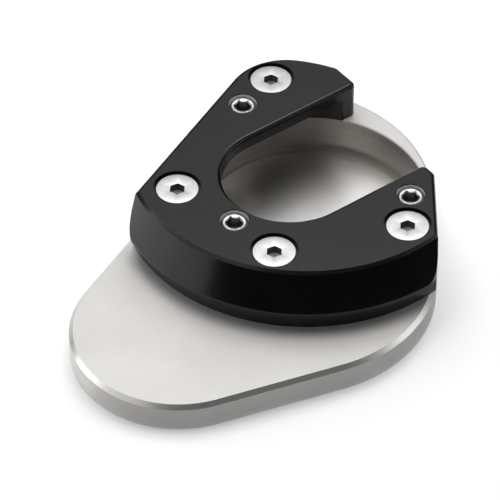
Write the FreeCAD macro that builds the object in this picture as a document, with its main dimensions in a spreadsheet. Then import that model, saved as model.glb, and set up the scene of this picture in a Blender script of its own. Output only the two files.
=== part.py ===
import FreeCAD, Part
import math
import os
import Sketcher

# Kickstand pad: a wide foot for a motorcycle side stand.
# Frame: origin on the underside, straight below the middle of the round foot pocket.
# +X runs along the slot to its open end, +Z is up, lengths are in mm, angles in degrees.

doc = FreeCAD.newDocument("kickstand_pad")
sheet = doc.addObject("Spreadsheet::Sheet", "dims")

SIZES = [
    ("plate_thick", 8.4, "height of the wide front plate"),
    ("deck_rise", 7.5, "step from the front plate up to the deck under the clamp"),
    ("clamp_high", 11.5, "clamp top above the deck"),
    ("plate_break", 1.2, "chamfer of the plate's upper edge"),
    ("deck_round", 1.0, "rounding of the deck's outer edge"),
    ("seat_radius", 33.1, "round pocket for the foot"),
    ("seat_deep", 12.5, "pocket floor below the deck"),
    ("seat_root", 1.5, "root rounding of the pocket"),
    ("seat_break", 0.4, "edge break at the pocket's rim"),
    ("left_angle", 24.0, "direction of the two left flanks"),
    ("right_angle", 53.1, "direction of the clamp's right flank"),
    ("flank_angle", 54.8, "direction of the plate's right flank"),
    ("front_angle", 164.3, "direction of the front edge"),
    ("left_wall", 6.3, "plate's left flank beyond the pocket"),
    ("front_reach", 27.6, "plate's front edge beyond the pocket"),
    ("rear_wall", 12.9, "rear arc's radius beyond the pocket's"),
    ("rear_x", -8.1, "middle of the rear arcs"),
    ("rear_y", 7.5, "middle of the rear arcs"),
    ("toe_radius", 30.5, "front left corner of the plate"),
    ("heel_radius", 42.0, "front right corner of the plate"),
    ("rear_corner", 19.5, "rear left corner of the plate"),
    ("bow_x", 2.6, "middle of the clamp's bowed front"),
    ("bow_y", 5.6, "middle of the clamp's bowed front"),
    ("bow_wall", 21.8, "bowed front's lower radius beyond the pocket's"),
    ("bow_lean", 4.3, "bowed front leans in by this much"),
    ("bow_land", 0.8, "plain strip at the bow's lower edge"),
    ("bow_corner", 7.0, "rounding of the bow's upright corners"),
    ("bow_break", 0.8, "chamfer of the bow's upper edge"),
    ("neck_back", 2.7, "neck set back from the bow's lower edge"),
    ("neck_wall", 5.0, "thickness of the neck"),
    ("deck_gap", 0.2, "clearance from deck to neck"),
    ("left_margin", 2.6, "clamp's left flank inside the plate's"),
    ("right_wall", 1.9, "clamp's right flank beyond the pocket"),
    ("rear_margin", 0.8, "clamp's rear arc inside the plate's"),
    ("corner_margin", 2.0, "clamp's rear corner radius under the plate's"),
    ("slot_half", 19.2, "half the slot's width"),
    ("slot_mid", -7.2, "middle of the slot's round end"),
    ("long_end", 9.35, "width of the longer arm at its end"),
    ("short_end", 4.76, "width of the shorter arm at its end"),
    ("lip_thick", 4.0, "lip that reaches over the foot"),
    ("cavity_inset", 0.2, "cavity under the lip, inside the pocket's wall"),
    ("tip_round", 1.8, "rounding of the arm ends"),
    ("clamp_round", 1.3, "rounding of the clamp's other upper edges"),
    ("head_radius", 6.0, "clamp screw head"),
    ("head_sink", 0.7, "head face below the clamp's top"),
    ("head_land", 0.5, "straight edge of the head"),
    ("recess_gap", 0.7, "recess around the head"),
    ("shank_radius", 3.0, "clamp screw in the clamp"),
    ("core_radius", 2.5, "clamp screw in the tapped hole"),
    ("screw_reach", 11.0, "clamp screw below the deck"),
    ("screw_gap", 0.1, "clearance around every screw"),
    ("hole_spare", 1.0, "hole below each screw's end"),
    ("key_flat", 4.0, "clamp screw key, across flats"),
    ("key_deep", 2.4, "clamp screw key depth"),
    ("key_turn", 50.0, "turn of the clamp screws' keys"),
    ("grub_radius", 4.0, "set screw"),
    ("grub_length", 10.0, "set screw length"),
    ("grub_sink", 0.85, "set screw below the clamp's top"),
    ("grub_key", 4.0, "set screw key, across flats"),
    ("grub_deep", 3.6, "set screw key depth"),
    ("grub_turn", 20.0, "turn of the set screws' keys"),
    ("grub_mouth", 0.2, "chamfer at the set screw's hole"),
    ("grub_crown", 0.9, "upper chamfer of the set screw"),
    ("grub_cup", 0.8, "tip chamfer of the set screw"),
]
SCREWS = {"a": (69.4, 5.57), "b": (158.1, 5.27), "c": (217.2, 3.58), "d": (280.3, 3.38)}
GRUBS = {"a": (89.6, 1.2), "b": (191.2, 1.6), "c": (298.6, 2.36)}
for tag, (turn, out) in SCREWS.items():
    SIZES.append(("screw_turn_" + tag, turn, "clamp screw, turned about the pocket"))
    SIZES.append(("screw_out_" + tag, out, "clamp screw beyond the pocket's wall"))
for tag, (turn, back) in GRUBS.items():
    SIZES.append(("grub_turn_" + tag, turn, "set screw, turned about the pocket"))
    SIZES.append(("grub_back_" + tag, back, "set screw inside the pocket's wall"))
V = {}
E = {}
for row, (alias, value, note) in enumerate(SIZES, start=1):
    sheet.set("A%d" % row, alias)
    sheet.set("B%d" % row, repr(value))
    sheet.set("C%d" % row, note)
    sheet.setAlias("B%d" % row, alias)
    V[alias] = value
    E[alias] = "dims." + alias
doc.recompute()


def tie(name, plus, minus=()):
    # a size worked out from others: its value goes to V and its expression to E
    V[name] = sum(V[part] for part in plus) - sum(V[part] for part in minus)
    E[name] = "(" + " + ".join(E[part] for part in plus) + "".join(" - " + E[part] for part in minus) + ")"


E["zero"] = "0"
V["zero"] = 0.0
tie("deck_z", ["plate_thick", "deck_rise"])
tie("top_z", ["deck_z", "clamp_high"])
tie("above", ["top_z", "clamp_high"])
tie("floor_z", ["deck_z"], ["seat_deep"])
tie("root_r", ["seat_radius"], ["seat_root"])
tie("rim_r", ["seat_radius", "seat_break"])
tie("rim_z", ["deck_z"], ["seat_break"])
tie("clamp_rise", ["deck_rise", "clamp_high"])
tie("plate_left", ["seat_radius", "left_wall"])
tie("plate_front", ["seat_radius", "front_reach"])
tie("rear_radius", ["seat_radius", "rear_wall"])
tie("bow_low", ["seat_radius", "bow_wall"])
tie("bow_top", ["bow_low"], ["bow_lean"])
tie("bow_crest", ["bow_top"], ["bow_break"])
tie("break_z", ["top_z"], ["bow_break"])
tie("bow_neck", ["bow_low"], ["neck_back"])
tie("neck_z", ["deck_z"], ["bow_land"])
tie("room_radius", ["bow_neck"], ["neck_wall"])
tie("deck_radius", ["room_radius"], ["deck_gap"])
tie("beyond", ["bow_low", "plate_front", "toe_radius"])
tie("below", ["zero"], ["clamp_high"])
tie("clamp_left", ["plate_left"], ["left_margin"])
tie("clamp_right", ["seat_radius", "right_wall"])
tie("clamp_rear", ["rear_radius"], ["rear_margin"])
tie("clamp_corner", ["rear_corner"], ["corner_margin"])
tie("cavity_radius", ["seat_radius"], ["cavity_inset"])
tie("lip_z", ["top_z"], ["lip_thick"])
tie("head_z", ["top_z"], ["head_sink"])
tie("cone_top", ["head_z"], ["head_land"])
tie("cone_high", ["head_radius"], ["shank_radius"])
tie("cone_foot", ["cone_top"], ["cone_high"])
tie("recess_deep", ["head_sink", "head_land"])
tie("recess_radius", ["head_radius", "recess_gap"])
tie("sink_radius", ["head_radius", "screw_gap"])
tie("passage_radius", ["shank_radius", "screw_gap"])
tie("tapped_radius", ["core_radius", "screw_gap"])
tie("tapped_deep", ["screw_reach", "hole_spare"])
tie("shank_long", ["cone_foot"], ["deck_z"])
tie("core_foot", ["deck_z"], ["screw_reach"])
tie("key_foot", ["head_z"], ["key_deep"])
tie("key_tall", ["key_deep", "head_sink"])
tie("grub_top", ["top_z"], ["grub_sink"])
tie("grub_foot", ["grub_top"], ["grub_length"])
tie("grub_neck", ["grub_foot", "grub_cup"])
tie("grub_stem", ["grub_length"], ["grub_cup", "grub_crown"])
tie("grub_shoulder", ["grub_top"], ["grub_crown"])
tie("grub_ring", ["grub_radius"], ["grub_crown"])
tie("grub_tip", ["grub_radius"], ["grub_cup"])
tie("grub_hole", ["grub_radius", "screw_gap"])
tie("grub_wide", ["grub_hole", "grub_mouth"])
tie("grub_bore", ["grub_sink", "grub_length", "hole_spare"])
tie("grub_key_foot", ["grub_top"], ["grub_deep"])
tie("grub_key_tall", ["grub_deep", "grub_sink"])


def polar(turn, distance):
    # x and y expressions of a place at a turn about the pocket's axis
    return ("%s * cos(%s * 1 deg)" % (distance, E[turn]), "%s * sin(%s * 1 deg)" % (distance, E[turn]))


SCREW_SPOTS = {}
for tag in SCREWS:
    SCREW_SPOTS[tag] = polar("screw_turn_" + tag, "(dims.seat_radius + dims.screw_out_%s)" % tag)
GRUB_SPOTS = {}
for tag in GRUBS:
    GRUB_SPOTS[tag] = polar("grub_turn_" + tag, "(dims.seat_radius - dims.grub_back_%s)" % tag)


def plane(body, role):
    for item in body.Origin.OriginFeatures:
        if item.Role == role:
            return item
    raise ValueError(role)


def new_sketch(body, name, role, shift=None):
    sketch = body.newObject("Sketcher::SketchObject", name)
    sketch.AttachmentSupport = [(plane(body, role), "")]
    sketch.MapMode = "FlatFace"
    for axis, text in (shift or {}).items():
        sketch.setExpression("AttachmentOffset.Base." + axis, text)
    return sketch


S = Sketcher.Constraint


def drive(sketch, constraint, text):
    sketch.setExpression("Constraints[%d]" % sketch.addConstraint(constraint), text)


def set_x(sketch, item, end, name):
    drive(sketch, S("DistanceX", -1, 1, item, end, V[name]), E[name])


def set_y(sketch, item, end, name):
    drive(sketch, S("DistanceY", -1, 1, item, end, V[name]), E[name])


def set_radius(sketch, item, name):
    drive(sketch, S("Radius", item, V[name]), E[name])


def set_away(sketch, item, name):
    # distance of a line from the pocket's axis
    drive(sketch, S("Distance", -1, 1, item, V[name]), E[name])


def set_angle(sketch, item, name, turned=0):
    angle = math.radians(V[name] - turned)
    drive(sketch, S("Angle", item, angle), "(%s - %d) * 1 deg" % (E[name], turned))


def add_line(sketch, start, end):
    a = FreeCAD.Vector(start[0], start[1], 0)
    b = FreeCAD.Vector(end[0], end[1], 0)
    return sketch.addGeometry(Part.LineSegment(a, b), False)


def add_arc(sketch, mid, start, end):
    # counter-clockwise from start to end
    first = math.atan2(start[1] - mid[1], start[0] - mid[0])
    last = math.atan2(end[1] - mid[1], end[0] - mid[0])
    centre = FreeCAD.Vector(mid[0], mid[1], 0)
    circle = Part.Circle(centre, FreeCAD.Vector(0, 0, 1), math.dist(mid, start))
    return sketch.addGeometry(Part.ArcOfCircle(circle, first, last), False)


def normal(angle):
    return (-math.sin(angle), math.cos(angle))


def on_line(mid, angle, away):
    # foot of the perpendicular from mid on a line at distance "away" from the pocket's axis
    nx, ny = normal(angle)
    step = away - (nx * mid[0] + ny * mid[1])
    return (mid[0] + step * nx, mid[1] + step * ny)


def line_circle(angle, away, mid, radius):
    # where a line, followed against its direction, leaves a circle
    foot = on_line(mid, angle, away)
    reach = math.sqrt(radius ** 2 - math.dist(mid, foot) ** 2)
    return (foot[0] - reach * math.cos(angle), foot[1] - reach * math.sin(angle))


def two_line_mid(angle_a, away_a, angle_b, away_b):
    # the point at the given distances from two lines through the pocket's axis
    a = normal(angle_a)
    b = normal(angle_b)
    det = a[0] * b[1] - a[1] * b[0]
    return ((away_a * b[1] - a[1] * away_b) / det, (a[0] * away_b - away_a * b[0]) / det)


def corner_mid(angle, away, corner, big_mid, big_radius):
    # middle of a corner arc that touches a line and a big arc from inside
    nx, ny = normal(angle)
    foot = away - corner - (nx * big_mid[0] + ny * big_mid[1])
    half = math.sqrt((big_radius - corner) ** 2 - foot ** 2)
    return (big_mid[0] + foot * nx + half * ny, big_mid[1] + foot * ny - half * nx)


def stretch(mid, toward, length):
    share = length / math.dist(mid, toward)
    return (mid[0] + (toward[0] - mid[0]) * share, mid[1] + (toward[1] - mid[1]) * share)


def turned_cut(body, name, sketch):
    # a full turn of the sketch about its upright axis is cut away, and has to take material
    before = body.Tip.Shape.Volume
    cut = body.newObject("PartDesign::Groove", name)
    cut.Profile = sketch
    cut.ReferenceAxis = (sketch, ["V_Axis"])
    cut.Angle = 360.0
    doc.recompute()
    if cut.Shape.Volume >= before:
        raise RuntimeError(name + " cuts nothing")


def section(body, name, corners, about_bow=True):
    # a closed polygon in an upright plane; each corner names the two sizes that place it
    shift = {"x": E["bow_x"], "z": "-" + E["bow_y"]} if about_bow else None
    sketch = new_sketch(body, name, "XZ_Plane", shift)
    count = len(corners)
    points = [(V[across], V[up]) for across, up in corners]
    for i in range(count):
        add_line(sketch, points[i], points[(i + 1) % count])
    for i in range(count):
        sketch.addConstraint(S("Coincident", i, 2, (i + 1) % count, 1))
    for i in range(count):
        set_x(sketch, i, 1, corners[i][0])
        set_y(sketch, i, 1, corners[i][1])
    return sketch


def screw_cut(body, kind, name, spot, top, height, radii):
    # a cylinder or cone cut that hangs down from the level "top" at a screw's place
    cut = body.newObject("PartDesign::Subtractive" + kind, name)
    cut.AttachmentSupport = [(plane(body, "XY_Plane"), "")]
    cut.MapMode = "FlatFace"
    cut.setExpression("AttachmentOffset.Base.x", spot[0])
    cut.setExpression("AttachmentOffset.Base.y", spot[1])
    cut.setExpression("AttachmentOffset.Base.z", "%s - %s" % (E[top], E[height]))
    cut.setExpression("Height", E[height])
    for field, size in radii.items():
        cut.setExpression(field, E[size])


def soften(body, kind, name, size, level, keep):
    # rounds or chamfers the edges that lie flat at one level and pass the test "keep"
    shape = body.Tip.Shape
    names = []
    for number, edge in enumerate(shape.Edges, start=1):
        box = edge.BoundBox
        if max(abs(box.ZMin - level), abs(box.ZMax - level)) > 1e-4:
            continue
        mid = edge.valueAt((edge.FirstParameter + edge.LastParameter) / 2)
        if keep(mid, edge):
            names.append("Edge%d" % number)
    carrier = body.Tip
    soft = body.newObject("PartDesign::" + kind, name)
    soft.Base = (carrier, names)
    soft.setExpression({"Fillet": "Radius", "Chamfer": "Size"}[kind], E[size])
    doc.recompute()


def round_upright(body, name, size, keep):
    # rounds the full-height upright edges whose place in the plan passes the test "keep"
    carrier = body.Tip
    names = []
    for number, edge in enumerate(carrier.Shape.Edges, start=1):
        if edge.BoundBox.ZLength > carrier.Shape.BoundBox.ZLength - 0.01 and keep(edge.Vertexes[0].Point):
            names.append("Edge%d" % number)
    soft = body.newObject("PartDesign::Fillet", name)
    soft.Base = (carrier, names)
    soft.setExpression("Radius", E[size])
    doc.recompute()


LEFT = math.radians(V["left_angle"])
RIGHT = math.radians(V["right_angle"])
FLANK = math.radians(V["flank_angle"])
FRONT = math.radians(V["front_angle"])
REAR = (V["rear_x"], V["rear_y"])
BOW = (V["bow_x"], V["bow_y"])

# Outline of the plate, which the deck follows behind its step
flank_normal = normal(FLANK)
flank_away = flank_normal[0] * REAR[0] + flank_normal[1] * REAR[1] - V["rear_radius"]
toe = two_line_mid(LEFT, V["plate_left"] - V["toe_radius"], FRONT, V["plate_front"] - V["toe_radius"])
heel = two_line_mid(FLANK, flank_away + V["heel_radius"], FRONT, V["plate_front"] - V["heel_radius"])
crown = corner_mid(LEFT, V["plate_left"], V["rear_corner"], REAR, V["rear_radius"])
left_start = on_line(crown, LEFT, V["plate_left"])
left_end = on_line(toe, LEFT, V["plate_left"])
front_start = on_line(toe, FRONT, V["plate_front"])
front_end = on_line(heel, FRONT, V["plate_front"])
flank_start = on_line(heel, FLANK, flank_away)
flank_end = on_line(REAR, FLANK, flank_away)
crown_start = stretch(REAR, crown, V["rear_radius"])


def padded_outline(body, name, height):
    # the plate's outline as a sketch, padded up from the underside
    outline = new_sketch(body, name + "_outline", "XY_Plane")
    left = add_line(outline, left_start, left_end)
    toe_arc = add_arc(outline, toe, left_end, front_start)
    front = add_line(outline, front_start, front_end)
    heel_arc = add_arc(outline, heel, front_end, flank_start)
    flank = add_line(outline, flank_start, flank_end)
    rear_arc = add_arc(outline, REAR, flank_end, crown_start)
    crown_arc = add_arc(outline, crown, crown_start, left_start)
    chain = [left, toe_arc, front, heel_arc, flank, rear_arc, crown_arc]
    for item, after in zip(chain, chain[1:] + chain[:1]):
        outline.addConstraint(S("Tangent", item, 2, after, 1))
    set_radius(outline, toe_arc, "toe_radius")
    set_radius(outline, heel_arc, "heel_radius")
    set_radius(outline, rear_arc, "rear_radius")
    set_radius(outline, crown_arc, "rear_corner")
    set_x(outline, rear_arc, 3, "rear_x")
    set_y(outline, rear_arc, 3, "rear_y")
    set_away(outline, left, "plate_left")
    set_away(outline, front, "plate_front")
    set_angle(outline, left, "left_angle", 180)
    set_angle(outline, front, "front_angle", 180)
    set_angle(outline, flank, "flank_angle")
    slab = body.newObject("PartDesign::Pad", name + "_slab")
    slab.Profile = outline
    slab.setExpression("Length", E[height])
    doc.recompute()


# Base: the wide plate with its chamfered upper edge
base = doc.addObject("PartDesign::Body", "base")
base.Label = "base"
padded_outline(base, "plate", "plate_thick")
soften(base, "Chamfer", "plate_edge", "plate_break", V["plate_thick"], lambda mid, edge: True)

# The deck: the same outline, taller, milled away beyond the arc of its step, and one with the plate
deck = doc.addObject("PartDesign::Body", "deck")
padded_outline(deck, "deck", "deck_z")
turned_cut(deck, "deck_step", section(deck, "step_profile", [
    ("deck_radius", "below"), ("beyond", "below"), ("beyond", "top_z"), ("deck_radius", "top_z")]))
whole = base.newObject("PartDesign::Boolean", "plate_and_deck")
whole.Type = "Fuse"
whole.addObject(deck)
doc.recompute()

# The foot pocket: round and flat-floored, with a rounded root and a broken rim
seat = new_sketch(base, "seat_profile", "XZ_Plane")
root_z = V["floor_z"] + V["seat_root"]
floor_line = add_line(seat, (0, V["floor_z"]), (V["root_r"], V["floor_z"]))
root_arc = add_arc(seat, (V["root_r"], root_z), (V["root_r"], V["floor_z"]), (V["seat_radius"], root_z))
wall_line = add_line(seat, (V["seat_radius"], root_z), (V["seat_radius"], V["rim_z"]))
rim_line = add_line(seat, (V["seat_radius"], V["rim_z"]), (V["rim_r"], V["deck_z"]))
mouth_line = add_line(seat, (V["rim_r"], V["deck_z"]), (0, V["deck_z"]))
axis_line = add_line(seat, (0, V["deck_z"]), (0, V["floor_z"]))
seat.addConstraint(S("Tangent", floor_line, 2, root_arc, 1))
seat.addConstraint(S("Tangent", root_arc, 2, wall_line, 1))
joined = [wall_line, rim_line, mouth_line, axis_line, floor_line]
for item, after in zip(joined, joined[1:]):
    seat.addConstraint(S("Coincident", item, 2, after, 1))
seat.addConstraint(S("Horizontal", floor_line))
seat.addConstraint(S("Vertical", wall_line))
seat.addConstraint(S("Horizontal", mouth_line))
seat.addConstraint(S("Vertical", axis_line))
seat.addConstraint(S("PointOnObject", floor_line, 1, -2))
set_y(seat, floor_line, 1, "floor_z")
set_y(seat, axis_line, 1, "deck_z")
set_x(seat, wall_line, 2, "seat_radius")
set_y(seat, wall_line, 2, "rim_z")
set_x(seat, rim_line, 2, "rim_r")
set_radius(seat, root_arc, "seat_root")
turned_cut(base, "foot_seat", seat)

# Tapped holes for the clamp screws
for tag, spot in SCREW_SPOTS.items():
    screw_cut(base, "Cylinder", "tapped_" + tag, spot, "deck_z", "tapped_deep", {"Radius": "tapped_radius"})
doc.recompute()


def on_deck_arc(mid):
    return abs(math.dist((mid.x, mid.y), BOW) - V["deck_radius"]) < 0.05


def on_rim(mid):
    return abs(math.hypot(mid.x, mid.y) - V["rim_r"]) < 0.05


# Rounded outer edge of the deck
soften(base, "Fillet", "deck_edge", "deck_round", V["deck_z"],
       lambda mid, edge: not (edge.isClosed() or on_deck_arc(mid) or on_rim(mid)))

# Clamp: a U around the slot, standing on the front plate's level
clamp = doc.addObject("PartDesign::Body", "clamp")
clamp.Label = "clamp"
plan = new_sketch(clamp, "clamp_outline", "XY_Plane", {"z": E["plate_thick"]})
half = V["slot_half"]
slot_end = V["slot_mid"]
long_y = half + V["long_end"]
short_y = -half - V["short_end"]
corner = corner_mid(LEFT, V["clamp_left"], V["clamp_corner"], REAR, V["clamp_rear"])
corner_start = stretch(REAR, corner, V["clamp_rear"])
left_start = on_line(corner, LEFT, V["clamp_left"])
bow_start = line_circle(LEFT, V["clamp_left"], BOW, V["bow_low"])
bow_end = line_circle(RIGHT, -V["clamp_right"], BOW, V["bow_low"])
right_normal = normal(RIGHT)
short_tip = (-V["clamp_right"] - right_normal[1] * short_y) / right_normal[0]
long_tip = REAR[0] + math.sqrt(V["clamp_rear"] ** 2 - (long_y - REAR[1]) ** 2)
left = add_line(plan, left_start, bow_start)
bow = add_arc(plan, BOW, bow_start, bow_end)
right = add_line(plan, bow_end, (short_tip, short_y))
short_end = add_line(plan, (short_tip, short_y), (short_tip, -half))
slot_low = add_line(plan, (short_tip, -half), (slot_end, -half))
slot_arc = add_arc(plan, (slot_end, 0), (slot_end, half), (slot_end, -half))
slot_high = add_line(plan, (slot_end, half), (long_tip, half))
long_end = add_line(plan, (long_tip, half), (long_tip, long_y))
rear = add_arc(plan, REAR, (long_tip, long_y), corner_start)
corner_arc = add_arc(plan, corner, corner_start, left_start)
for item, after in ((left, bow), (bow, right), (right, short_end), (short_end, slot_low),
                    (slot_high, long_end), (long_end, rear)):
    plan.addConstraint(S("Coincident", item, 2, after, 1))
plan.addConstraint(S("Tangent", slot_low, 2, slot_arc, 2))
plan.addConstraint(S("Tangent", slot_arc, 1, slot_high, 1))
plan.addConstraint(S("Tangent", rear, 2, corner_arc, 1))
plan.addConstraint(S("Tangent", corner_arc, 2, left, 1))
plan.addConstraint(S("Vertical", short_end))
plan.addConstraint(S("Vertical", long_end))
plan.addConstraint(S("Horizontal", slot_low))
plan.addConstraint(S("PointOnObject", slot_arc, 3, -1))
set_radius(plan, bow, "bow_low")
set_radius(plan, slot_arc, "slot_half")
set_radius(plan, rear, "clamp_rear")
set_radius(plan, corner_arc, "clamp_corner")
set_x(plan, bow, 3, "bow_x")
set_y(plan, bow, 3, "bow_y")
set_x(plan, slot_arc, 3, "slot_mid")
set_x(plan, rear, 3, "rear_x")
set_y(plan, rear, 3, "rear_y")
drive(plan, S("DistanceY", long_end, 1, long_end, 2, V["long_end"]), E["long_end"])
drive(plan, S("DistanceY", short_end, 1, short_end, 2, V["short_end"]), E["short_end"])
set_away(plan, left, "clamp_left")
set_away(plan, right, "clamp_right")
set_angle(plan, left, "left_angle", 180)
set_angle(plan, right, "right_angle")
block = clamp.newObject("PartDesign::Pad", "clamp_block")
block.Profile = plan
block.setExpression("Length", E["clamp_rise"])
doc.recompute()

# Rounded upright corners at the arm ends and at both ends of the bow
round_upright(clamp, "arm_ends", "tip_round",
              lambda spot: min(abs(spot.x - long_tip), abs(spot.x - short_tip)) < 0.01)
round_upright(clamp, "bow_ends", "bow_corner",
              lambda spot: min(math.dist(spot[:2], bow_start), math.dist(spot[:2], bow_end)) < 0.01)

# Bowed front: leans in from its lower edge to a chamfer below the top face
turned_cut(clamp, "front_lean", section(clamp, "lean_profile", [
    ("bow_low", "deck_z"), ("beyond", "deck_z"), ("beyond", "above"), ("bow_crest", "above"),
    ("bow_crest", "top_z"), ("bow_top", "break_z")]))

# Neck: set back under the bowed front
turned_cut(clamp, "front_neck", section(clamp, "neck_profile", [
    ("bow_neck", "plate_thick"), ("beyond", "plate_thick"), ("beyond", "neck_z"), ("bow_neck", "neck_z")]))

# Room for the deck inside the neck, so that the clamp sits on the deck
turned_cut(clamp, "deck_recess", section(clamp, "deck_room", [
    ("zero", "plate_thick"), ("room_radius", "plate_thick"), ("room_radius", "deck_z"), ("zero", "deck_z")]))

# Cavity under the lip for the upper side of the stand's foot
turned_cut(clamp, "foot_cavity", section(clamp, "cavity_profile", [
    ("zero", "deck_z"), ("cavity_radius", "deck_z"), ("cavity_radius", "lip_z"), ("zero", "lip_z")], False))



def on_bow(mid):
    return abs(math.dist((mid.x, mid.y), BOW) - V["bow_crest"]) < 0.05


# Upper edges of the clamp: rounded, except along the bow
soften(clamp, "Fillet", "upper_edges", "clamp_round", V["top_z"], lambda mid, edge: not on_bow(mid))

# Recesses, sinks and passages for the clamp screws
for tag, spot in SCREW_SPOTS.items():
    screw_cut(clamp, "Cylinder", "recess_" + tag, spot, "top_z", "recess_deep", {"Radius": "recess_radius"})
    screw_cut(clamp, "Cone", "sink_" + tag, spot, "cone_top", "cone_high",
              {"Radius1": "passage_radius", "Radius2": "sink_radius"})
    screw_cut(clamp, "Cylinder", "passage_" + tag, spot, "top_z", "clamp_rise", {"Radius": "passage_radius"})

# Holes for the set screws, with chamfered mouths
for tag, spot in GRUB_SPOTS.items():
    screw_cut(clamp, "Cylinder", "grub_hole_" + tag, spot, "top_z", "grub_bore", {"Radius": "grub_hole"})
    screw_cut(clamp, "Cone", "grub_mouth_" + tag, spot, "top_z", "grub_mouth",
              {"Radius1": "grub_hole", "Radius2": "grub_wide"})
doc.recompute()


def solid(kind, name, spot, level, fields):
    item = doc.addObject("Part::" + kind, name)
    for field, size in fields.items():
        item.setExpression(field, E[size])
    item.setExpression("Placement.Base.x", spot[0])
    item.setExpression("Placement.Base.y", spot[1])
    item.setExpression("Placement.Base.z", E[level])
    return item


def key_tool(name, spot, level, flat, height, turn):
    # a six-sided prism, sized across its flats
    key = solid("Prism", name, spot, level, {"Height": height})
    key.Polygon = 6
    key.setExpression("Placement.Rotation.Angle", E[turn] + " * 1 deg")
    key.setExpression("Circumradius", E[flat] + " / sqrt(3)")
    return key


def keyed(name, pieces, key):
    blank = doc.addObject("Part::MultiFuse", name + "_blank")
    blank.Shapes = pieces
    item = doc.addObject("Part::Cut", name)
    item.Base = blank
    item.Tool = key
    return item


def group(name, items):
    item = doc.addObject("Part::Compound", name)
    item.Links = items
    item.Label = name
    return item


# Clamp screws: flat countersunk heads with a six-sided key, the core in the tapped hole
screws = []
for tag, spot in SCREW_SPOTS.items():
    land = solid("Cylinder", "head_land_" + tag, spot, "cone_top",
                 {"Radius": "head_radius", "Height": "head_land"})
    cone = solid("Cone", "head_cone_" + tag, spot, "cone_foot",
                 {"Radius1": "shank_radius", "Radius2": "head_radius", "Height": "cone_high"})
    shank = solid("Cylinder", "shank_" + tag, spot, "deck_z",
                  {"Radius": "shank_radius", "Height": "shank_long"})
    core = solid("Cylinder", "core_" + tag, spot, "core_foot",
                 {"Radius": "core_radius", "Height": "screw_reach"})
    key = key_tool("key_" + tag, spot, "key_foot", "key_flat", "key_tall", "key_turn")
    screws.append(keyed("screw_" + tag, [land, cone, shank, core], key))
clamp_screws = group("clamp_screws", screws)

# Set screws: headless, a six-sided key above and a chamfered tip below
grubs = []
for tag, spot in GRUB_SPOTS.items():
    stem = solid("Cylinder", "stem_" + tag, spot, "grub_neck",
                 {"Radius": "grub_radius", "Height": "grub_stem"})
    cup = solid("Cone", "tip_" + tag, spot, "grub_foot",
                {"Radius1": "grub_tip", "Radius2": "grub_radius", "Height": "grub_cup"})
    crest = solid("Cone", "crest_" + tag, spot, "grub_shoulder",
                  {"Radius1": "grub_radius", "Radius2": "grub_ring", "Height": "grub_crown"})
    key = key_tool("grub_key_" + tag, spot, "grub_key_foot", "grub_key", "grub_key_tall", "grub_turn")
    grubs.append(keyed("grub_" + tag, [stem, cup, crest], key))
set_screws = group("set_screws", grubs)
doc.recompute()

# Check every object, then write one STEP file per node
bad = [item.Name for item in doc.Objects if "Invalid" in item.State or "Error" in item.State]
nodes = [base, clamp, clamp_screws, set_screws]
for item in nodes:
    if item.Shape.isNull() or not item.Shape.isValid():
        bad.append(item.Label)
if bad:
    raise RuntimeError("not written, faulty: " + ", ".join(bad))
os.makedirs("parts", exist_ok=True)
for item in nodes:
    print(item.Label, len(item.Shape.Solids), "solids", round(item.Shape.Volume, 1), "mm3")
    item.Shape.exportStep("parts/" + item.Label + ".step")
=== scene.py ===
import math

import bmesh
import bpy
from mathutils import Matrix, Vector


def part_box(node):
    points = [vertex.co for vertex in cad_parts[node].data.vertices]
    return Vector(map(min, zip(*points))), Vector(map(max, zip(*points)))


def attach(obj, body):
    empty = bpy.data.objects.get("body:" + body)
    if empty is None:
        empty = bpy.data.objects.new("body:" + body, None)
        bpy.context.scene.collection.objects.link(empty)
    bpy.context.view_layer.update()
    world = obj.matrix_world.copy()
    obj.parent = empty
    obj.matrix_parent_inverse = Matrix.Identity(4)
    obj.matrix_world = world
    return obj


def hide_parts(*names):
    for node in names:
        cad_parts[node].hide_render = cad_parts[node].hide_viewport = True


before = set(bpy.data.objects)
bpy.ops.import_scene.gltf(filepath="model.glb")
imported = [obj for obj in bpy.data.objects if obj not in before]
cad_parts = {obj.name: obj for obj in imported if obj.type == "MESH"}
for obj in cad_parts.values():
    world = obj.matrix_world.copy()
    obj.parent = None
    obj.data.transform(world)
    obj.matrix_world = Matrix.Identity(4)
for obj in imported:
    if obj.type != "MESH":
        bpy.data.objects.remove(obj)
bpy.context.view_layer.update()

# The base: one aluminium block, milled to a wide plate with a raised deck and a round foot pocket.
# The outside is blasted and anodised in silver, and a smoother chamfer breaks the plate's upper edge.
# The pocket is turned last and left bright, as the cutter made it, but its wall and the root at its floor
# are painted darker, as painted shade.
MM = 0.001
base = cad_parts["base"]
PLATE_TOP = 8.4 * MM
CHAMFER_FOOT = PLATE_TOP - 1.2 * MM
DECK_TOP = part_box("base")[1].z
DECK_SPOT = (2.6 * MM, 5.6 * MM)
DECK_RADIUS = 47.0 * MM
POCKET_RADIUS = 33.1 * MM
POCKET_FLOOR = 3.4 * MM
POCKET_ROOT = 1.5 * MM
SILVER_DIM = (0.67, 0.66, 0.645, 1.0)
SILVER_BRIGHT = (0.72, 0.71, 0.695, 1.0)
# Painted shade: the pocket's wall is painted far darker than its bright floor; only the tool lines in it
# are its own.
SHADED_WALL_DIM = (0.31, 0.29, 0.27, 1.0)
SHADED_WALL_LIGHT = (0.43, 0.405, 0.38, 1.0)
CUT_BRIGHT = (0.90, 0.88, 0.86, 1.0)
# Painted shade: the root where the pocket's wall meets its floor is painted darker than the floor.
ROOT_SHADE = (0.50, 0.47, 0.44, 1.0)
BLASTED_ROUGH = (0.66, 0.74)
CHAMFER_ROUGH = 0.36
FLOOR_ROUGH = (0.31, 0.36)
WALL_ROUGH = (0.28, 0.40)
ROOT_ROUGH = 0.9
FINE_RELIEF = 0.02 * MM


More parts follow.
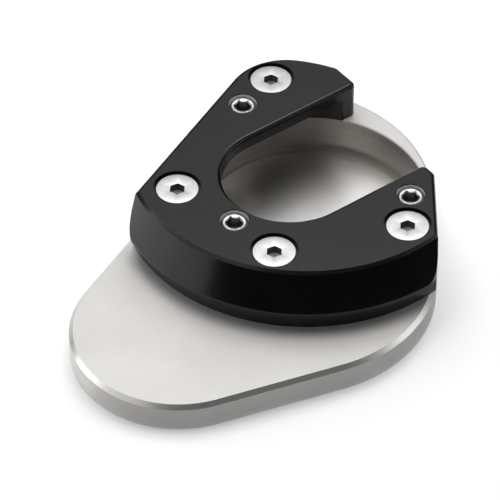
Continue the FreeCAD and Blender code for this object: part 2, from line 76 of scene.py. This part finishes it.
def new_material(name):
    material = bpy.data.materials.new(name)
    material.use_nodes = True
    tree = material.node_tree
    return material, tree, tree.nodes["Principled BSDF"]


def add_node(tree, kind, **values):
    node = tree.nodes.new(kind)
    for key, value in values.items():
        setattr(node, key, value)
    return node


def feed(tree, socket, value):
    # a link where the value comes from another node, a plain setting otherwise
    if isinstance(value, bpy.types.NodeSocket):
        tree.links.new(value, socket)
    else:
        socket.default_value = value


def math_node(tree, operation, first, second=0.0, third=0.0):
    node = add_node(tree, "ShaderNodeMath", operation=operation)
    for socket, value in zip(node.inputs, (first, second, third)):
        feed(tree, socket, value)
    return node.outputs[0]


def both(tree, first, second):
    return math_node(tree, "MULTIPLY", first, second)


def object_axes(tree):
    coords = add_node(tree, "ShaderNodeTexCoord")
    split = add_node(tree, "ShaderNodeSeparateXYZ")
    tree.links.new(coords.outputs["Object"], split.inputs[0])
    return coords.outputs["Object"], split.outputs["X"], split.outputs["Y"], split.outputs["Z"]


def noise(tree, vector, scale, detail=2.0, roughness=0.5):
    node = add_node(tree, "ShaderNodeTexNoise")
    node.inputs["Scale"].default_value = scale
    node.inputs["Detail"].default_value = detail
    node.inputs["Roughness"].default_value = roughness
    tree.links.new(vector, node.inputs["Vector"])
    return node.outputs["Fac"]


def ramp(tree, value, low, high, to_low=0.0, to_high=1.0):
    node = add_node(tree, "ShaderNodeMapRange", clamp=True)
    for socket, number in zip(list(node.inputs)[1:5], (low, high, to_low, to_high)):
        socket.default_value = number
    tree.links.new(value, node.inputs[0])
    return node.outputs[0]


def falling(tree, value, low, high):
    return ramp(tree, value, low, high, 1.0, 0.0)


def mix_values(tree, share, first, second):
    node = add_node(tree, "ShaderNodeMix", data_type="FLOAT")
    for socket, value in zip((node.inputs[0], node.inputs[2], node.inputs[3]), (share, first, second)):
        feed(tree, socket, value)
    return node.outputs[0]


def mix_colours(tree, share, first, second):
    node = add_node(tree, "ShaderNodeMix", data_type="RGBA")
    for socket, value in zip((node.inputs[0], node.inputs[6], node.inputs[7]), (share, first, second)):
        feed(tree, socket, value)
    return node.outputs[2]


def bump(tree, height, strength):
    node = add_node(tree, "ShaderNodeBump")
    node.inputs["Strength"].default_value = strength
    node.inputs["Distance"].default_value = FINE_RELIEF
    tree.links.new(height, node.inputs["Height"])
    return node.outputs["Normal"]


def from_axis(tree, x, y, centre=(0.0, 0.0)):
    # distance from an upright axis
    across = math_node(tree, "SUBTRACT", x, centre[0])
    along = math_node(tree, "SUBTRACT", y, centre[1])
    square = math_node(tree, "MULTIPLY_ADD", across, across, both(tree, along, along))
    return math_node(tree, "SQRT", square)


def paint(item, material):
    item.data.materials.clear()
    item.data.materials.append(material)


material, tree, shader = new_material("blasted_aluminium")
place, x, y, z = object_axes(tree)
radius = from_axis(tree, x, y)
inside = falling(tree, radius, POCKET_RADIUS + 0.1 * MM, POCKET_RADIUS + 0.3 * MM)
above = ramp(tree, z, POCKET_FLOOR - 0.4 * MM, POCKET_FLOOR - 0.2 * MM)
below = falling(tree, z, DECK_TOP - 0.35 * MM, DECK_TOP - 0.15 * MM)
pocket = both(tree, inside, both(tree, above, below))
root_start = POCKET_RADIUS - POCKET_ROOT
root_end = POCKET_FLOOR + POCKET_ROOT
on_wall = ramp(tree, z, POCKET_FLOOR + 0.3 * MM, root_end)
on_root = both(tree, ramp(tree, radius, root_start - 0.1 * MM, root_start + 0.1 * MM),
               falling(tree, z, root_end, root_end + 1.5 * MM))
chamfer = both(tree, ramp(tree, z, CHAMFER_FOOT, CHAMFER_FOOT + 0.05 * MM),
               falling(tree, z, PLATE_TOP - 0.06 * MM, PLATE_TOP - 0.01 * MM))
ahead = ramp(tree, from_axis(tree, x, y, DECK_SPOT), DECK_RADIUS + 0.1 * MM, DECK_RADIUS + 0.3 * MM)

grain = noise(tree, place, scale=2600.0, roughness=0.6)
cloud = noise(tree, place, scale=55.0, detail=3.0)
wall_line = noise(tree, z, scale=2400.0, roughness=0.7)
turn_line = noise(tree, radius, scale=1500.0, roughness=0.7)
silver = mix_colours(tree, ramp(tree, cloud, 0.3, 0.7), SILVER_DIM, SILVER_BRIGHT)
# painted shade: the wall's tool lines on a colour painted dark for the shade in the pocket
shaded_wall_colour = mix_colours(tree, ramp(tree, wall_line, 0.3, 0.7), SHADED_WALL_DIM, SHADED_WALL_LIGHT)
cut_colour = mix_colours(tree, on_wall, CUT_BRIGHT, shaded_wall_colour)
# painted shade in the root between the wall and the floor
cut_colour = mix_colours(tree, on_root, cut_colour, ROOT_SHADE)
tree.links.new(mix_colours(tree, pocket, silver, cut_colour), shader.inputs["Base Color"])
shader.inputs["Metallic"].default_value = 1.0

blasted = ramp(tree, grain, 0.25, 0.75, *BLASTED_ROUGH)
blasted = mix_values(tree, both(tree, chamfer, ahead), blasted, CHAMFER_ROUGH)
floor_finish = ramp(tree, cloud, 0.3, 0.7, *FLOOR_ROUGH)
wall_finish = ramp(tree, wall_line, 0.2, 0.8, *WALL_ROUGH)
turned = mix_values(tree, on_wall, floor_finish, wall_finish)
turned = mix_values(tree, on_root, turned, ROOT_ROUGH)
tree.links.new(mix_values(tree, pocket, blasted, turned), shader.inputs["Roughness"])

lines = mix_values(tree, on_wall, turn_line, wall_line)
lines = both(tree, lines, ramp(tree, on_wall, 0.0, 1.0, 0.3, 1.0))
height = mix_values(tree, pocket, grain, lines)
tree.links.new(bump(tree, height, 0.25), shader.inputs["Normal"])
paint(base, material)

# The clamp: a U of aluminium milled all over and anodised black, with a soft satin sheen.
# It lies on the deck, wraps the deck's front with its neck, and its lip reaches over the foot.
# The holes of its set screws are tapped after anodising, so their walls are bare metal.
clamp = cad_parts["clamp"]
CLAMP_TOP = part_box("clamp")[1].z
BLACK_DEEP = (0.0018, 0.0018, 0.002, 1.0)
BLACK_SOFT = (0.0038, 0.0036, 0.0038, 1.0)
BLACK_SHEEN = 0.45
BLACK_ROUGH = (0.20, 0.27)
BARE = (0.80, 0.78, 0.77, 1.0)
BARE_METAL = 0.35
SET_HOLE = 4.1 * MM


def about_pocket(turn, distance):
    return (distance * math.cos(math.radians(turn)), distance * math.sin(math.radians(turn)))


def to_nearest(tree, x, y, spots):
    # distance from the nearest of several upright axes
    nearest = from_axis(tree, x, y, spots[0])
    for spot in spots[1:]:
        nearest = math_node(tree, "MINIMUM", nearest, from_axis(tree, x, y, spot))
    return nearest


SET_SPOTS = [about_pocket(turn, POCKET_RADIUS - back * MM)
             for turn, back in ((89.6, 1.2), (191.2, 1.6), (298.6, 2.36))]
material, tree, shader = new_material("black_anodised")
place, x, y, z = object_axes(tree)
grain = noise(tree, place, scale=2200.0, roughness=0.6)
cloud = noise(tree, place, scale=60.0, detail=3.0)
black = mix_colours(tree, ramp(tree, cloud, 0.3, 0.7), BLACK_DEEP, BLACK_SOFT)
near = falling(tree, to_nearest(tree, x, y, SET_SPOTS), SET_HOLE + 0.05 * MM, SET_HOLE + 0.1 * MM)
sunk = falling(tree, z, CLAMP_TOP - 0.3 * MM, CLAMP_TOP - 0.22 * MM)
bare = both(tree, near, sunk)
tree.links.new(mix_colours(tree, bare, black, BARE), shader.inputs["Base Color"])
tree.links.new(both(tree, bare, BARE_METAL), shader.inputs["Metallic"])
shader.inputs["Specular IOR Level"].default_value = BLACK_SHEEN
tree.links.new(ramp(tree, grain, 0.25, 0.75, *BLACK_ROUGH), shader.inputs["Roughness"])
tree.links.new(bump(tree, grain, 0.15), shader.inputs["Normal"])
paint(clamp, material)

# The clamp screws: four bright stainless countersunk screws with a six-sided key and a rolled thread.
# They sit a little below the clamp's top and hold it down on the base.
scene = bpy.context.scene
SCREW_SPOTS = [about_pocket(turn, POCKET_RADIUS + out * MM)
               for turn, out in ((69.4, 5.57), (158.1, 5.27), (217.2, 3.58), (280.3, 3.38))]
HEAD_FACE = CLAMP_TOP - 0.7 * MM
HEAD_RADIUS = 6.0 * MM
HEAD_LAND = 0.5 * MM
HEAD_EDGE = 0.16 * MM
HEAD_EDGE_STEPS = 4
SHANK_RADIUS = 3.0 * MM
CORE_RADIUS = 2.5 * MM
SCREW_FOOT = DECK_TOP - 11.0 * MM
SCREW_TIP = 0.6 * MM
SCREW_ROOT = 2.4 * MM
SCREW_PITCH = 1.0 * MM
THREAD_TOP = DECK_TOP + 4.0 * MM
SCREW_KEY = 4.0 * MM
SCREW_KEY_DEEP = 2.4 * MM
SCREW_KEY_TURN = 50.0
SCREW_MOUTH = SCREW_KEY * 0.6
KEY_POINT = 0.5 * MM
# Painted shade: a dark grey painted into the screws' key sockets, and on the set screws over all but their
# top ring and lower end.
PAINTED_SHADE_GREY = (0.25, 0.25, 0.26, 1.0)
STAINLESS_DIM = (0.57, 0.575, 0.575, 1.0)
STAINLESS_BRIGHT = (0.64, 0.64, 0.635, 1.0)
STAINLESS_ROUGH = (0.36, 0.46)
STEPS = 48
SHARP_FROM = 28.0
THREAD_SHARES = (0.0, 0.12, 0.44, 0.56, 0.88, 1.0)


def verts_of(geom):
    return [item for item in geom if isinstance(item, bmesh.types.BMVert)]


def edges_of(geom):
    return [item for item in geom if isinstance(item, bmesh.types.BMEdge)]


def open_edges(geom):
    return [edge for edge in edges_of(geom) if edge.is_boundary]


def rim_at(shape, level):
    return [edge for edge in open_edges(shape.edges) if abs(edge.verts[0].co.z - level) < 0.01 * MM]


def ring_out(shape, edges, radius, height):
    # draws an open rim on to a circle about the screw's axis
    made = bmesh.ops.extrude_edge_only(shape, edges=edges)["geom"]
    for vert in verts_of(made):
        share = radius / math.hypot(vert.co.x, vert.co.y)
        vert.co = (vert.co.x * share, vert.co.y * share, height)
    return open_edges(made)


def key_socket(shape, across, turn, floor, mouth):
    # a six-sided socket with a drilled point, up to the rim of its mouth
    made = bmesh.ops.create_circle(shape, cap_ends=False, segments=6, radius=across / math.sqrt(3.0),
                                   matrix=Matrix.Translation((0.0, 0.0, floor)))
    # the circle's first corner lies on +Y, so it is brought to +X before it is turned
    turned = Matrix.Rotation(math.radians(turn), 4, "Z") @ Matrix.Rotation(math.radians(-90.0), 4, "Z")
    bmesh.ops.transform(shape, matrix=turned, verts=made["verts"])
    bmesh.ops.subdivide_edges(shape, edges=shape.edges[:], cuts=STEPS // 6 - 1)
    rim = shape.edges[:]
    bottom = bmesh.ops.edgeloop_fill(shape, edges=rim)["faces"]
    point = bmesh.ops.poke(shape, faces=bottom)["verts"]
    bmesh.ops.translate(shape, vec=(0.0, 0.0, -KEY_POINT), verts=point)
    made = bmesh.ops.extrude_edge_only(shape, edges=rim)["geom"]
    bmesh.ops.translate(shape, vec=(0.0, 0.0, mouth - floor), verts=verts_of(made))
    return open_edges(made)


def thread(crest, root, pitch, low, high, limit):
    # a helical ridge between two levels, its flats and flanks at shares of the pitch
    # limit gives the largest radius at a height
    shape = bmesh.new()
    turns = math.ceil((high - low) / pitch) + 4
    start = low - 2.0 * pitch
    sides = zip((root, root, crest, crest, root, root), THREAD_SHARES)
    chain = [shape.verts.new((side, 0.0, start + share * pitch)) for side, share in sides]
    links = [shape.edges.new(pair) for pair in zip(chain, chain[1:])]
    bmesh.ops.spin(shape, geom=chain + links, cent=(0.0, 0.0, 0.0), axis=(0.0, 0.0, 1.0),
                   dvec=(0.0, 0.0, pitch / STEPS), angle=2.0 * math.pi * turns, steps=STEPS * turns)
    bmesh.ops.remove_doubles(shape, verts=shape.verts[:], dist=0.001 * MM)
    for level, side in ((low, -1.0), (high, 1.0)):
        everything = shape.verts[:] + shape.edges[:] + shape.faces[:]
        bmesh.ops.bisect_plane(shape, geom=everything, dist=0.0001 * MM, clear_outer=True,
                               plane_co=(0.0, 0.0, level), plane_no=(0.0, 0.0, side))
    for vert in shape.verts:
        share = min(1.0, limit(vert.co.z) / math.hypot(vert.co.x, vert.co.y))
        vert.co.x *= share
        vert.co.y *= share
    return shape


def make_mesh(shape, name):
    mesh = bpy.data.meshes.new(name)
    shape.to_mesh(mesh)
    shape.free()
    return mesh


def add_object(name, data):
    item = bpy.data.objects.new(name, data)
    scene.collection.objects.link(item)
    return item


def add_part(shape, other):
    # puts another shape into this one
    spare = make_mesh(other, "spare")
    shape.from_mesh(spare)
    bpy.data.meshes.remove(spare)


def place_screws(pattern, name, spots, material, node):
    # a copy of the pattern at each of its places in the clamp
    for number, spot in enumerate(spots, start=1):
        shape = pattern.copy()
        bmesh.ops.translate(shape, vec=(spot[0], spot[1], 0.0), verts=shape.verts[:])
        mesh = make_mesh(shape, "%s_%d" % (name, number))
        mesh.shade_smooth()
        mesh.set_sharp_from_angle(angle=math.radians(SHARP_FROM))
        mesh.materials.append(material)
        piece = add_object(mesh.name, mesh)
        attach(piece, "root")
        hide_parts(node)
    pattern.free()


def screw_limit(height):
    wall = SHANK_RADIUS if height > DECK_TOP else CORE_RADIUS
    return min(wall, CORE_RADIUS - SCREW_TIP + height - SCREW_FOOT)


stainless, tree, shader = new_material("bright_stainless")
place, x, y, z = object_axes(tree)
speck = noise(tree, place, scale=1500.0, detail=3.0, roughness=0.6)
grain = noise(tree, place, scale=4500.0, roughness=0.6)
tone = mix_colours(tree, ramp(tree, speck, 0.35, 0.65), STAINLESS_DIM, STAINLESS_BRIGHT)
nearest = to_nearest(tree, x, y, SCREW_SPOTS)
# painted shade: the key socket is painted dark grey
socket_shade = both(tree, falling(tree, nearest, SCREW_MOUTH - 0.08 * MM, SCREW_MOUTH),
             falling(tree, z, HEAD_FACE - 0.2 * MM, HEAD_FACE - 0.06 * MM))
tree.links.new(mix_colours(tree, socket_shade, tone, PAINTED_SHADE_GREY), shader.inputs["Base Color"])
shader.inputs["Metallic"].default_value = 1.0
tree.links.new(ramp(tree, speck, 0.3, 0.7, *STAINLESS_ROUGH), shader.inputs["Roughness"])
tree.links.new(bump(tree, grain, 0.12), shader.inputs["Normal"])

shape = bmesh.new()
rim = key_socket(shape, SCREW_KEY, SCREW_KEY_TURN, HEAD_FACE - SCREW_KEY_DEEP, HEAD_FACE - 0.05 * MM)
rim = ring_out(shape, rim, SCREW_MOUTH, HEAD_FACE)
for step in range(HEAD_EDGE_STEPS + 1):
    turn = math.radians(90.0 * step / HEAD_EDGE_STEPS)
    rim = ring_out(shape, rim, HEAD_RADIUS - HEAD_EDGE * (1.0 - math.sin(turn)),
                   HEAD_FACE - HEAD_EDGE * (1.0 - math.cos(turn)))
cone_top = HEAD_FACE - HEAD_LAND
rim = ring_out(shape, rim, HEAD_RADIUS, cone_top)
rim = ring_out(shape, rim, SHANK_RADIUS, cone_top - HEAD_RADIUS + SHANK_RADIUS)
ring_out(shape, rim, SHANK_RADIUS, THREAD_TOP)
add_part(shape, thread(SHANK_RADIUS, SCREW_ROOT, SCREW_PITCH, SCREW_FOOT, THREAD_TOP, screw_limit))
bmesh.ops.bridge_loops(shape, edges=rim_at(shape, THREAD_TOP))
bmesh.ops.edgeloop_fill(shape, edges=rim_at(shape, SCREW_FOOT))
bmesh.ops.recalc_face_normals(shape, faces=shape.faces[:])
place_screws(shape, "clamp_screw", SCREW_SPOTS, stainless, "clamp_screws")

# The set screws: three headless steel screws with a six-sided key, threaded over their whole length.
# They stand in the clamp's lip and press on the stand's foot from above.
SET_TOP = CLAMP_TOP - 0.85 * MM
SET_FOOT = SET_TOP - 10.0 * MM
SET_RADIUS = 4.0 * MM
SET_ROOT = 3.3 * MM
SET_RING = 3.1 * MM
SET_CROWN = 0.9 * MM
SET_TIP = 0.8 * MM
SET_PITCH = 1.25 * MM
SET_KEY = 4.0 * MM
SET_KEY_DEEP = 3.6 * MM
SET_KEY_TURN = 20.0
SET_MOUTH = 2.62 * MM
STEEL_DIM = (0.76, 0.765, 0.77, 1.0)
STEEL_BRIGHT = (0.88, 0.88, 0.88, 1.0)
STEEL_ROUGH = (0.20, 0.30)


def set_limit(height):
    top = SET_RING + (SET_TOP - height) * (SET_RADIUS - SET_RING) / SET_CROWN
    return min(SET_RADIUS, top, SET_RADIUS - SET_TIP + height - SET_FOOT)


steel, tree, shader = new_material("plain_steel")
place, x, y, z = object_axes(tree)
speck = noise(tree, place, scale=1800.0, detail=3.0, roughness=0.6)
tone = mix_colours(tree, ramp(tree, speck, 0.35, 0.65), STEEL_DIM, STEEL_BRIGHT)
nearest = to_nearest(tree, x, y, SET_SPOTS)
# painted shade: the set screw is painted dark grey except for the flat ring round its key and its lower end
# below the lip, which keep the steel's tone
on_ring = both(tree, ramp(tree, nearest, SET_MOUTH - 0.1 * MM, SET_MOUTH),
               falling(tree, nearest, SET_RING + 0.05 * MM, SET_RING + 0.2 * MM))
on_top = both(tree, on_ring, ramp(tree, z, SET_TOP - 0.3 * MM, SET_TOP - 0.2 * MM))
on_tip = falling(tree, z, SET_TOP - 5.0 * MM, SET_TOP - 4.5 * MM)
unshaded_steel = math_node(tree, "MAXIMUM", on_top, on_tip)
tree.links.new(mix_colours(tree, unshaded_steel, PAINTED_SHADE_GREY, tone), shader.inputs["Base Color"])
shader.inputs["Metallic"].default_value = 1.0
tree.links.new(ramp(tree, speck, 0.3, 0.7, *STEEL_ROUGH), shader.inputs["Roughness"])

shape = bmesh.new()
rim = key_socket(shape, SET_KEY, SET_KEY_TURN, SET_TOP - SET_KEY_DEEP, SET_TOP - 0.3 * MM)
ring_out(shape, rim, SET_MOUTH, SET_TOP)
add_part(shape, thread(SET_RADIUS, SET_ROOT, SET_PITCH, SET_FOOT, SET_TOP, set_limit))
bmesh.ops.bridge_loops(shape, edges=rim_at(shape, SET_TOP))
bmesh.ops.edgeloop_fill(shape, edges=rim_at(shape, SET_FOOT))
bmesh.ops.recalc_face_normals(shape, faces=shape.faces[:])
place_screws(shape, "set_screw", SET_SPOTS, steel, "set_screws")

# The table: a wide white disc in a plain white room, which carries the pad and its shadow.
# It glows a little to what looks at it, so that it stays white while the lamps stay at a plain level.
TABLE_RADIUS = 2.0
TABLE_WHITE = (0.9, 0.9, 0.9, 1.0)
TABLE_GLOW = 0.04
ROOM_LIGHT = 0.75
WHITE = (1.0, 1.0, 1.0, 1.0)


def matte_material(name, roughness):
    material, tree, shader = new_material(name)
    shader.inputs["Roughness"].default_value = roughness
    shader.inputs["Specular IOR Level"].default_value = 0.0
    return material, tree, shader


table_white, tree, shader = matte_material("white_table", 0.9)
shader.inputs["Base Color"].default_value = TABLE_WHITE
paths = add_node(tree, "ShaderNodeLightPath")
seen = math_node(tree, "MAXIMUM", paths.outputs["Is Camera Ray"], paths.outputs["Is Glossy Ray"])
seen = math_node(tree, "MAXIMUM", seen, paths.outputs["Is Transmission Ray"])
shader.inputs["Emission Color"].default_value = WHITE
tree.links.new(both(tree, seen, TABLE_GLOW), shader.inputs["Emission Strength"])
shape = bmesh.new()
bmesh.ops.create_circle(shape, cap_ends=True, segments=96, radius=TABLE_RADIUS)
table = add_object("floor", make_mesh(shape, "floor"))
table.data.materials.append(table_white)

scene.world = bpy.data.worlds.new("studio")
scene.world.use_nodes = True
background = scene.world.node_tree.nodes["Background"]
background.inputs["Color"].default_value = WHITE
background.inputs["Strength"].default_value = ROOM_LIGHT

# The camera: looks down at the pad from its front left, from 0.9 m, with a long lens.
# Its own directions, to the right, away and up, also place the lamps and the cards.
VIEW_RIGHT = Vector((0.802, -0.598, 0.0)).normalized()
VIEW_AWAY = Vector((0.598, 0.802, 0.0)).normalized()
UP = Vector((0.0, 0.0, 1.0))
AIM = Vector((-22.67 * MM, -2.31 * MM, PLATE_TOP))
CAMERA_RISE = math.radians(43.5)
CAMERA_DISTANCE = 0.9
CAMERA_SENSOR = 36.0
CAMERA_LENS = 230.0


def look_at_aim(item, spot):
    item.location = spot
    item.rotation_euler = (AIM - spot).to_track_quat("-Z", "Y").to_euler()


lens = bpy.data.cameras.new("camera")
lens.sensor_width = CAMERA_SENSOR
lens.lens = CAMERA_LENS
scene.camera = add_object("camera", lens)
back = UP * math.sin(CAMERA_RISE) - VIEW_AWAY * math.cos(CAMERA_RISE)
look_at_aim(scene.camera, AIM + back * CAMERA_DISTANCE)
scene.view_settings.view_transform = "Standard"

# The lamps: one large soft box above and behind the pad, and a low panel at each side.
# The panels draw the bright ends of the plate's chamfer and the sheen on the clamp's left.


def add_panel(name, spot, width, height, power):
    lamp = bpy.data.lights.new(name, "AREA")
    lamp.shape = "RECTANGLE"
    lamp.size = width
    lamp.size_y = height
    lamp.energy = power
    look_at_aim(add_object(name, lamp), spot)


add_panel("top_box", AIM + VIEW_AWAY * 0.2 + UP * 0.8, width=0.7, height=0.7, power=4.2)
add_panel("right_panel", AIM + VIEW_RIGHT * 0.78 + UP * 0.40, width=0.55, height=0.22, power=1.3)
add_panel("left_panel", AIM - VIEW_RIGHT * 0.6 + VIEW_AWAY * 0.1 + UP * 0.12,
          width=0.5, height=0.25, power=1.0)

# The cards: dark cloths round the table, out of the camera's sight, which keep the black metal black.
# Each is part of a ring about the aim, between two turns in degrees from the camera's side.
# The solid ones also take light away, and only reflections meet the others.
CLOTH_RISE = (0.15, 0.45)
CLOTH_GREY = 0.12
FLAG_STEPS = 32


def hide_card(card, solid):
    card.visible_camera = False
    card.visible_diffuse = solid
    card.visible_shadow = solid
    card.visible_transmission = False


def add_flag(name, start, stop, reach, low, high, solid=False):
    shape = bmesh.new()
    first = AIM - VIEW_AWAY * reach
    pair = [shape.verts.new((first.x, first.y, level)) for level in (low, high)]
    edge = shape.edges.new(pair)
    bmesh.ops.rotate(shape, verts=pair, cent=AIM, matrix=Matrix.Rotation(math.radians(start), 3, "Z"))
    bmesh.ops.spin(shape, geom=pair + [edge], cent=AIM, axis=UP, steps=FLAG_STEPS,
                   angle=math.radians(stop - start))
    flag = add_object(name, make_mesh(shape, name))
    flag.data.materials.append(cloth)
    hide_card(flag, solid)


cloth, tree, shader = matte_material("dark_cloth", 1.0)
z = object_axes(tree)[3]
tree.links.new(ramp(tree, z, *CLOTH_RISE, 0.0, CLOTH_GREY), shader.inputs["Base Color"])
add_flag("front_flag_low", -50.0, 66.0, reach=0.4, low=0.0, high=0.15, solid=True)
add_flag("front_flag_high", -28.0, 66.0, reach=0.4, low=0.15, high=1.2, solid=True)
add_flag("left_flag", -180.0, -102.0, reach=0.45, low=0.0, high=0.3)
add_flag("right_flag", 65.0, 112.0, reach=0.45, low=0.0, high=0.12)
add_flag("right_flag_high", 66.0, 130.0, reach=0.44, low=0.2, high=0.9)
add_flag("mouth_flag", 112.0, 165.0, reach=0.45, low=0.0, high=0.32)

# The table card: a flat grey felt on the table along the plate's front, from the toe to the heel.
# It follows the plate's outline at a small distance, fades to black outwards, and only reflections meet it.
TOE = Vector((-56.6 * MM, -15.5 * MM, 0.4 * MM))
HEEL = Vector((-18.5 * MM, -14.2 * MM, 0.4 * MM))
TOE_RADIUS = 30.5 * MM
HEEL_RADIUS = 42.0 * MM
FRONT_TURN = 254.3
CARD_START = 181.0
CARD_STOP = 333.0
CARD_GAP = 1.0 * MM
CARD_REACH = 0.8
CARD_STEPS = 24
FELT_FADE = (0.09, 0.12)
FELT_GREY = 0.56


def on_ray(centre, turn, distance):
    return centre + Vector((math.cos(math.radians(turn)), math.sin(math.radians(turn)), 0.0)) * distance


felt, tree, shader = matte_material("grey_felt", 1.0)
x, y = object_axes(tree)[1:3]
spread = from_axis(tree, x, y, (AIM.x, AIM.y))
tree.links.new(ramp(tree, spread, *FELT_FADE, FELT_GREY, 0.0), shader.inputs["Base Color"])

shape = bmesh.new()
pair = [shape.verts.new(on_ray(TOE, CARD_START, reach)) for reach in (TOE_RADIUS + CARD_GAP, CARD_REACH)]
edge = shape.edges.new(pair)
last = bmesh.ops.spin(shape, geom=pair + [edge], cent=TOE, axis=UP, steps=CARD_STEPS,
                      angle=math.radians(FRONT_TURN - CARD_START))["geom_last"]
made = bmesh.ops.extrude_edge_only(shape, edges=edges_of(last))["geom"]
pair = verts_of(made)
edge = [item for item in edges_of(made) if all(vert in pair for vert in item.verts)]
along = on_ray(HEEL, FRONT_TURN, HEEL_RADIUS) - on_ray(TOE, FRONT_TURN, TOE_RADIUS)
bmesh.ops.translate(shape, vec=along, verts=pair)
bmesh.ops.spin(shape, geom=pair + edge, cent=HEEL, axis=UP, steps=CARD_STEPS,
               angle=math.radians(CARD_STOP - FRONT_TURN))
card = add_object("table_flag", make_mesh(shape, "table_flag"))
card.data.materials.append(felt)
hide_card(card, solid=False)
